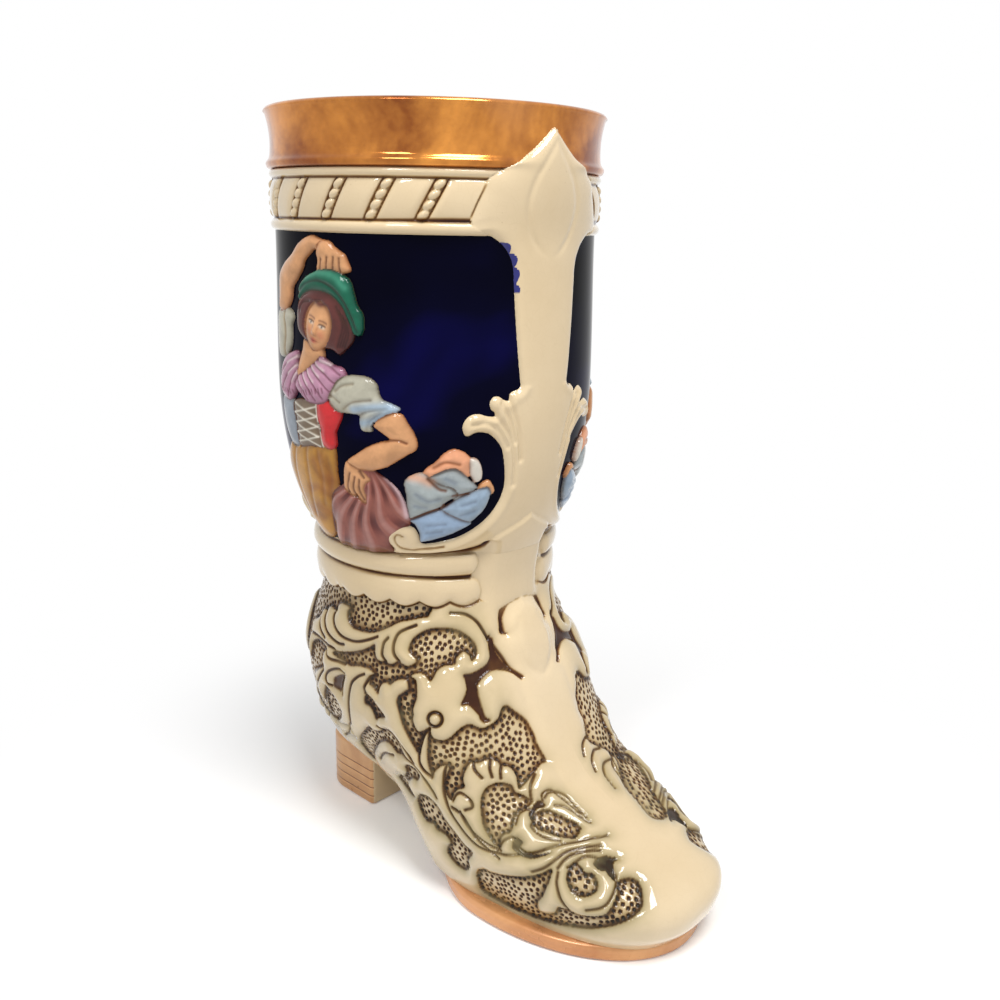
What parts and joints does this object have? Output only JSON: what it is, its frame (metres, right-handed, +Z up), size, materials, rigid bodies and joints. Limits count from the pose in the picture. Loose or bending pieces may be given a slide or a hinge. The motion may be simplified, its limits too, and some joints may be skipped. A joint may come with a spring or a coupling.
{
  "type": "boot beer stein",
  "caption": "Glazed earthenware beer stein shaped like a dress boot: open leg as the bowl, hollow foot as the base, with lustre lip, sole and heel and relief panels of dancers and scrolls.",
  "frame": {"origin": "on the table, under the middle of the boot's bounding box", "axes": "+X from the heel to the toe, +Y to the boot's left, +Z up through the open leg"},
  "size_m": [0.1552, 0.0988, 0.222],
  "materials": {
    "cream_glaze": "gloss, crazed",
    "copper_lustre": "metallic lustre",
    "cobalt_glaze": "gloss",
    "green_glaze": "gloss",
    "skin_glaze": "satin",
    "rose_glaze": "satin",
    "white_glaze": "gloss",
    "ochre_glaze": "gloss",
    "plum_glaze": "satin",
    "pale_blue_glaze": "gloss"
  },
  "bodies": {
    "root": {"shaft_wall": "cream_glaze", "foot_wall": "cream_glaze", "rim_band": "copper_lustre", "sole": "copper_lustre", "heel_block": "copper_lustre", "front_strap": "cream_glaze", "back_strap": "cream_glaze", "front_shield": "cream_glaze", "back_shield": "cream_glaze", "vamp": "cream_glaze", "tongue": "cream_glaze", "rim_fillet_right": "cream_glaze", "rope_band_right": "cream_glaze", "panel_fillet_right": "cream_glaze", "ankle_ring_right": "cream_glaze", "cuff_ring_right": "cream_glaze", "panel_right": "cobalt_glaze", "acanthus_right": "cream_glaze", "panel_scroll_right": "cream_glaze", "dancer_cap_right": "green_glaze", "dancer_head_right": "skin_glaze", "dancer_raised_arm_right": "skin_glaze", "dancer_bodice_right": "rose_glaze", "dancer_sleeve_right": "white_glaze", "dancer_forearm_right": "skin_glaze", "dancer_apron_right": "ochre_glaze", "dancer_skirt_right": "plum_glaze", "companion_right": "pale_blue_glaze", "ankle_scroll_right": "cream_glaze", "tulip_right": "cream_glaze", "heel_leaf_right": "cream_glaze", "lower_stem_right": "cream_glaze", "instep_volute_right": "cream_glaze", "toe_volute_right": "cream_glaze", "rim_fillet_left": "cream_glaze", "rope_band_left": "cream_glaze", "panel_fillet_left": "cream_glaze", "ankle_ring_left": "cream_glaze", "cuff_ring_left": "cream_glaze", "panel_left": "cobalt_glaze", "acanthus_left": "cream_glaze", "panel_scroll_left": "cream_glaze", "dancer_cap_left": "green_glaze", "dancer_head_left": "skin_glaze", "dancer_raised_arm_left": "skin_glaze", "dancer_bodice_left": "rose_glaze", "dancer_sleeve_left": "white_glaze", "dancer_forearm_left": "skin_glaze", "dancer_apron_left": "ochre_glaze", "dancer_skirt_left": "plum_glaze", "companion_left": "pale_blue_glaze", "ankle_scroll_left": "cream_glaze", "tulip_left": "cream_glaze", "heel_leaf_left": "cream_glaze", "lower_stem_left": "cream_glaze", "instep_volute_left": "cream_glaze", "toe_volute_left": "cream_glaze"}
  },
  "joints": []
}
